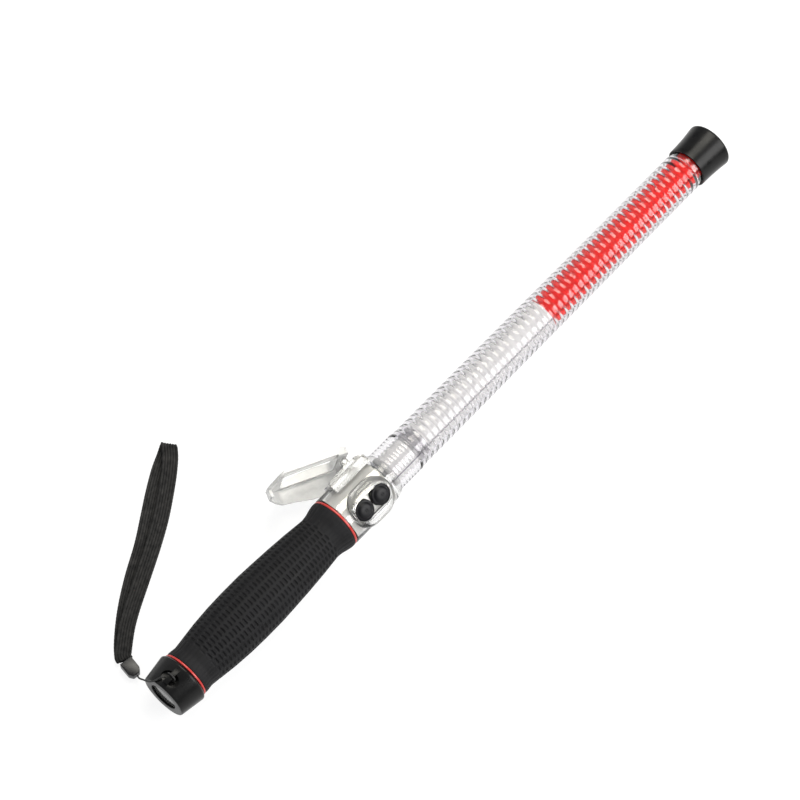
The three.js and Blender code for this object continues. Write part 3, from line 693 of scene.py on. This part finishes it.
def add_grip(materials):
    """Rubber sleeve: staggered slots pressed into the middle, and fine ribs at both ends."""
    start, end = GRIP_OUTLINE[0][0], GRIP_OUTLINE[-1][0]
    xs = np.linspace(start, end, 440)
    knots_x, knots_r = np.array(GRIP_OUTLINE).T
    radius = np.interp(xs, knots_x, knots_r)
    kernel = np.hanning(13)
    kernel /= kernel.sum()
    padded = np.pad(radius, 6, mode="edge")
    radius = np.convolve(padded, kernel, mode="valid")
    columns = 360
    angles = np.linspace(0, 2 * math.pi, columns, endpoint=False)
    grid_x, grid_a = np.meshgrid(xs, angles, indexing="ij")
    row = grid_a / (2 * math.pi) * SLOT_ROWS
    along = (grid_x - start) / SLOT_PITCH + np.floor(row) * 0.5
    u = (along % 1 - 0.5) * SLOT_PITCH
    v = (row % 1 - 0.5) * 2 * math.pi * radius[:, None] / SLOT_ROWS
    slot = np.clip(1 - (u / SLOT_HALF_ALONG) ** 2 - (v / SLOT_HALF_AROUND) ** 4, 0, 1) ** 0.5
    middle = np.clip((grid_x - SLOTS_FROM) / 2, 0, 1) * np.clip((SLOTS_TO - grid_x) / 2, 0, 1)
    flutes = np.abs(np.sin(grid_a * 15)) ** 0.6
    tucked = np.clip((grid_x - start) / 2, 0, 1) * np.clip((end - grid_x) / 2, 0, 1)
    depth = SLOT_DEPTH * slot * middle + FLUTE_DEPTH * (1 - flutes) * (1 - middle) * tucked
    r = radius[:, None] - depth
    points = np.stack([grid_x, r * np.sin(grid_a), r * np.cos(grid_a)], axis=-1).reshape(-1, 3)
    rim = np.stack([
        np.zeros(columns), HANDLE_RADIUS * np.sin(angles), HANDLE_RADIUS * np.cos(angles),
    ], axis=-1)
    points = np.concatenate([points, rim + (end, 0, 0), rim + (start, 0, 0)])
    faces = grid_faces(len(xs) + 2, columns, wrap_rows=True)
    grip = mesh_object("grip_rubber_sleeve", points, faces, sharp=50)
    face_outwards(grip)
    piece(grip, "handle", materials["grip_rubber"], "black_rubber", "grip_sleeve")

    for name, node, x0, x1, outer in (
        ("rear_ring", "rear_red_ring", 19.1, 20.5, 17.0),
        ("front_ring", "front_red_ring", 158.3, 159.9, 18.3),
    ):
        section = rounded([(x0, HANDLE_RADIUS), (x0, outer), (x1, outer), (x1, HANDLE_RADIUS)], 0.45)
        ring = lathe(name, section, 128)
        piece(ring, "handle", materials["red_rubber"], "red_rubber", node)


# ---------------------------------------------------------------- switch housing

PAD_CENTRE = 181.2
BUTTON_SPACING = 15.2
BUTTON_RADIUS = 7.1
WINDOW = (30.2, 15)
PAD_TOP = 20.3
BEZEL_LENGTH, BEZEL_WIDTH = 36.4, 27.6
BEZEL_ROLL = 4.2
SEAT_RADIUS = 18.8


def add_housing(materials):
    turn = roll_matrix(PAD_ROLL)
    profile = rounded([
        (160.2, 16.9, 0.2), (160.2, 18.5, 0.8), (195, 18.5, 6), (203, 16.9, 3), (206.3, 15.6, 0.5),
        (206.3, 15.4, 0), (201.5, 15.4, 0.3), (199, 16.9, 0.5),
    ], 0.3)
    shell = lathe("switch_housing_shell", profile, 160, turn)
    boolean(shell, "DIFFERENCE", prism("window", stadium(PAD_CENTRE, *WINDOW), 5, 30, turn))
    shade(shell)
    piece(shell, "handle", materials["clear_housing"], "clear_plastic", "switch_housing")

    liner = lathe("housing_liner_film", rounded([
        (160.8, 15.5), (160.8, 16.6), (198.6, 16.6), (198.6, 15.5),
    ], 0.2), 160, turn)
    for side in (-1, 1):
        hole_width = 2 * BUTTON_RADIUS + 0.59
        hole = stadium(PAD_CENTRE + side * BUTTON_SPACING / 2, hole_width + 0.01, hole_width)
        boolean(liner, "DIFFERENCE", prism("hole", hole, 5, 30, turn))
    shade(liner)
    piece(liner, "handle", materials["silver_film"], "silver_film", "housing_liner")

    add_bezel(materials, turn)
    for name, side in (("rear", -1), ("front", 1)):
        add_button(materials, name, PAD_CENTRE + side * BUTTON_SPACING / 2, turn)


def add_bezel(materials, turn):
    """The clear raised surround of the buttons: a domed stadium with a rolled outer edge."""
    levels = []
    for k in range(9):
        a = math.pi / 2 * k / 8
        levels.append((BEZEL_ROLL * (1 - math.cos(a)), PAD_TOP - BEZEL_ROLL + BEZEL_ROLL * math.sin(a)))
    outer = [(0.0, 10.0)] + levels
    rows = []
    for inset, height in outer:
        outline = stadium(PAD_CENTRE, BEZEL_LENGTH - 2 * inset, BEZEL_WIDTH - 2 * inset)
        rows.append([(x, y, height) for x, y in outline])
    count = len(rows[0])
    points = [p for row in rows for p in row]
    faces = grid_faces(len(rows), count)
    faces.append(tuple(range(count - 1, -1, -1)))
    faces.append(tuple(range((len(rows) - 1) * count, len(rows) * count)))
    bezel = mesh_object("button_bezel_rim", points, faces, turn)
    face_outwards(bezel)
    seat = lathe("seat", [(150, 0), (150, SEAT_RADIUS), (212, SEAT_RADIUS), (212, 0)], 160, turn)
    boolean(bezel, "DIFFERENCE", seat)
    boolean(bezel, "DIFFERENCE", prism("window", stadium(PAD_CENTRE, *WINDOW), 5, 30, turn))
    soften(bezel, 0.25, 3, 40)
    piece(bezel, "handle", materials["clear_bezel"], "clear_plastic", "button_bezel")


def add_button(materials, name, x, turn):
    """A rubber button with a stepped dome and a small nub in the middle."""
    profile = [
        (15.7, 0), (15.7, 7.1), (18.7, 7.1), (19.1, 7.0), (19.4, 6.7), (19.5, 6.4), (19.6, 5.6),
        (19.8, 5.3), (20.25, 5.0), (20.7, 4.5), (21.05, 3.6), (21.2, 2.5), (21.26, 1.3),
        (21.12, 1.05), (21.08, 0.8), (21.2, 0.5), (21.28, 0),
    ]
    segments = 72
    angles = np.linspace(0, 2 * math.pi, segments, endpoint=False)
    rows = [p for p in profile if p[1] > 0]
    points = [(x + r * math.cos(a), r * math.sin(a), h) for h, r in rows for a in angles]
    faces = grid_faces(len(rows), segments)
    points += [(x, 0, profile[0][0]), (x, 0, profile[-1][0])]
    low, high, base = len(points) - 2, len(points) - 1, (len(rows) - 1) * segments
    for j in range(segments):
        k = (j + 1) % segments
        faces.append((low, k, j))
        faces.append((high, base + j, base + k))
    button = mesh_object(f"button_{name}_cap", points, faces, turn, 30)
    face_outwards(button)
    piece(button, f"{name}_button", materials["button_rubber"], "black_rubber", f"button_{name}")


# ---------------------------------------------------------------- hook

PIN_X = 190
PIN_HEIGHT = 22.4
HOOK_ANGLE = math.radians(24.8)
LOOP_REACH = 52
LOOP_SHOULDER = -42
LOOP_HALF_WIDTH = 18
LOOP_TIP_HALF = 5


def cylinder_y(name, x, z, radius, low, high, turn, segments=40):
    outline = [
        (x + radius * math.cos(a), z + radius * math.sin(a))
        for a in np.linspace(0, 2 * math.pi, segments, endpoint=False)
    ]
    return side_prism(name, outline, low, high, turn)


def loop_outline(hinge, shoulder, tip, half_width, tip_half):
    """The loop's plan: square at the hinge, drawn in to a blunt point at the free end."""
    return rounded([
        (hinge, -half_width, 3), (hinge, half_width, 3), (shoulder, half_width, 2), (tip, tip_half, 2),
        (tip, -tip_half, 2), (shoulder, -half_width, 2),
    ], 2)


def add_hook(materials):
    turn = roll_matrix(HOOK_ROLL)
    base = side_prism("hook_base_saddle", rounded([
        (170, 6, 0), (170, 17.5, 1), (172.5, 19.9, 1), (196, 19.9, 2), (201, 17, 1), (201, 6, 0),
    ], 1), -15.4, 15.4, turn)
    seat = lathe("seat", [(150, 0), (150, SEAT_RADIUS), (220, SEAT_RADIUS), (220, 0)], 160, turn)
    boolean(base, "DIFFERENCE", seat)
    for inner in (7.4, -12.0):
        outer = inner + 4.6
        foot = side_prism("lug", [
            (PIN_X - 2.3, 18.9), (PIN_X - 2.3, PIN_HEIGHT), (PIN_X + 2.3, PIN_HEIGHT), (PIN_X + 2.3, 18.9),
        ], inner, outer, turn)
        eye = cylinder_y("eye", PIN_X, PIN_HEIGHT, 2.3, inner, outer, turn)
        boolean(base, "UNION", foot, eye)
    boolean(base, "DIFFERENCE", cylinder_y("pin_hole", PIN_X, PIN_HEIGHT, 1.25, -20, 20, turn))
    soften(base, 0.3, 3, 40)
    piece(base, "handle", materials["clear_saddle"], "clear_plastic", "hook_base")

    swing = turn @ Matrix.Translation((PIN_X, 0, PIN_HEIGHT)) @ Matrix.Rotation(HOOK_ANGLE, 4, "Y")
    underside = 3.4
    arch = [(3.5, underside)]
    for k in range(25):
        t = k / 24
        x = 3.5 * (1 - t) ** 2 - 23 * 2 * t * (1 - t) - LOOP_REACH * t * t
        z = 7.2 * (1 - t) ** 2 + 13.6 * 2 * t * (1 - t) + 2.2 * t * t
        arch.append((x, z))
    arch += [(-LOOP_REACH, 0.2), (LOOP_SHOULDER, underside)]
    loop = side_prism("hook_loop_frame", arch, -LOOP_HALF_WIDTH, LOOP_HALF_WIDTH, swing)
    window = rounded([(-41, -12.4), (-3.5, -12.4), (-3.5, 12.4), (-41, 12.4)], 3.5)
    relief = prism("relief", [(-41, -20), (-3.5, -20), (-3.5, -12.4), (-41, -12.4)], 0, underside + 1, swing)
    boolean(loop, "DIFFERENCE", prism("window", window, -20, 20, swing), relief)
    skirt = side_prism("skirt", [
        (3.5, underside + 0.5), (3.5, -5.4), (0, -8.6), (-10, -9.6), (-21, -9.4), (-33, -7.2),
        (-47, -5.5), (-LOOP_REACH, -3.5), (-LOOP_REACH, 0.7), (LOOP_SHOULDER, underside + 0.5),
    ], -LOOP_TIP_HALF, LOOP_HALF_WIDTH, swing)
    wall = 1.6
    cavity = loop_outline(
        10, LOOP_SHOULDER + 0.6, -LOOP_REACH + wall, LOOP_HALF_WIDTH - wall, LOOP_TIP_HALF - 0.7)
    boolean(skirt, "DIFFERENCE", prism("cavity", cavity, -20, 20, swing))
    boolean(loop, "UNION", skirt)
    outline = loop_outline(3.5, LOOP_SHOULDER, -LOOP_REACH, LOOP_HALF_WIDTH, LOOP_TIP_HALF)
    boolean(loop, "INTERSECT", prism("outline", outline, -20, 20, swing))
    barrel = cylinder_y("barrel", 0, 0, 2.3, -7.1, 7.1, swing)
    web = side_prism("web", [(-2.3, 0), (2.3, 0), (2.3, 3.9), (-2.3, 3.9)], -7.1, 7.1, swing)
    boolean(loop, "UNION", barrel, web)
    boolean(loop, "DIFFERENCE", cylinder_y("bore", 0, 0, 1.3, -20, 20, swing))
    soften(loop, 0.5, 3, 40)
    piece(loop, "hook", materials["clear_hook"], "clear_plastic", "hook_loop")


# ---------------------------------------------------------------- light tube

RIB_PITCH = 5.2
# Roll of the films' overlap step, where a strip of painted shade runs.
FILM_OVERLAP_ROLL = math.radians(58)
SOCKET_START, SOCKET_END = 206.6, 228
RIBS_START, RIBS_END = 228.3, 510
SPIGOT_RADIUS = 12.0


def ribbed(start, end, crest, valley, steps=10, rib=RIB_PITCH, sharp=False):
    """A run of moulded ribs, with round crests or with straight-sided, pointed ones."""
    count = math.floor((end - start) / rib)
    pitch = (end - start) / count
    points = []
    for i in range(count):
        for k in range(steps):
            t = k / steps
            lift = 1 - abs(2 * t - 1) if sharp else math.sin(math.pi * t) ** 0.8
            points.append((start + (i + t) * pitch, valley + (crest - valley) * lift))
    points.append((end, valley))
    return points


def add_light_tube(materials):
    """The collar, the clear tube with pointed rings on its bore, and the two halves of the sleeve."""
    socket = lathe("tube_socket_collar", [(199, 11.0), (199, 14.8), (206.3, 14.8)]
                   + ribbed(SOCKET_START, SOCKET_END, 15.0, 14.7, 6, RIB_PITCH / 2)
                   + [(SOCKET_END, SPIGOT_RADIUS), (238, SPIGOT_RADIUS), (238, 11.0)], 128, sharp=20)
    piece(socket, "handle", materials["clear_tube"], "clear_plastic", "tube_socket")
    # Thin dark rings painted as the shade in the gaps between housing and collar, and between collar and
    # tube.
    for name, x, inner, outer in (
        ("socket_gap_shade", 206.35, 14.82, 15.2),
        ("tube_gap_shade", 228.05, 12.3, 14.4),
    ):
        line = lathe(name, [(x, inner), (x, outer), (x + 0.2, outer), (x + 0.2, inner)], 128)
        piece(line, "handle", materials["clear_seam"], "clear_film")

    prisms = ribbed(RIBS_START, RIBS_END, 13.1, 12.05, 4, sharp=True)
    tube = lathe("light_tube_ribbed", ribbed(RIBS_START, RIBS_END, 14.5, 14.0)
                 + [(510.4, 13.7), (524, 13.7), (524, 12.9), (510.5, 12.9)] + prisms[::-1], 128, sharp=20)
    piece(tube, "handle", materials["clear_tube"], "clear_plastic", "light_tube")

    for name, node, start, end, film_name, slot_name in (
        ("clear_film_sleeve", "clear_sleeve", 203, 363.7, "clear_film", "clear_film"),
        ("red_film_sleeve", "red_sleeve", 364, 523, "red_film", "red_film"),
    ):
        lo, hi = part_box(node)
        radius = (hi.z - lo.z) / 2 / MM
        rings = ribbed(start, end, radius, radius - 0.3, 6, RIB_PITCH / 2)
        sleeve = lathe(name, [(start, radius - 0.8), *rings, (end, radius - 0.8)], 128)
        piece(sleeve, "handle", materials[film_name], slot_name, node)
        # A dark strip painted as the shade along the film's overlap step.
        seam = prism(f"{name}_seam", [(start, -0.28), (end, -0.28), (end, 0.28), (start, 0.28)],
                     radius - 0.1, radius + 0.12, roll_matrix(FILM_OVERLAP_ROLL))
        piece(seam, "handle", materials[film_name.replace("film", "seam")], slot_name)


def add_tip(materials):
    cap = lathe("tip_cap_body", rounded([
        (514.3, 14.0, 0.2), (514.3, 15.3, 0.3), (522, 15.5, 4), (530, 16, 4), (536.5, 16.75, 2),
        (538.8, 17.0, 0.8), (540, 15.8, 1.0), (540, 0.01, 0), (536.5, 0.01, 0), (536.5, 12.6, 0.2),
        (524.3, 12.6, 0.2), (524.3, 14.0, 0.2),
    ], 0.3), 160)
    piece(cap, "handle", materials["black_plastic"], "black_plastic", "tip_cap")


# ---------------------------------------------------------------- inner pieces from the CAD

def dress_inner_pieces(materials):
    dress = {
        "black_plastic": ["handle_tube", "tact_switch_rear", "tact_switch_front"],
        "steel": ["battery_spring", "hook_pin", "hook_screw_1", "hook_screw_2"],
        "brass": ["contact_plate"],
        "board": ["torch_board", "driver_board", "switch_board", "lamp_board"],
        "cell_wrap": ["battery_1", "battery_2"],
        "led_yellow": ["torch_led"],
        "led_red": [f"lamp_{i}" for i in range(1, 11)],
    }
    for name, nodes in dress.items():
        for node in nodes:
            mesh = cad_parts[node].data
            mesh.materials.clear()
            mesh.materials.append(materials[name])


add_camera()
materials = build_materials()
add_lanyard(materials)
add_stage()
add_tail(materials)
add_grip(materials)
add_housing(materials)
add_hook(materials)
add_light_tube(materials)
add_tip(materials)
dress_inner_pieces(materials)
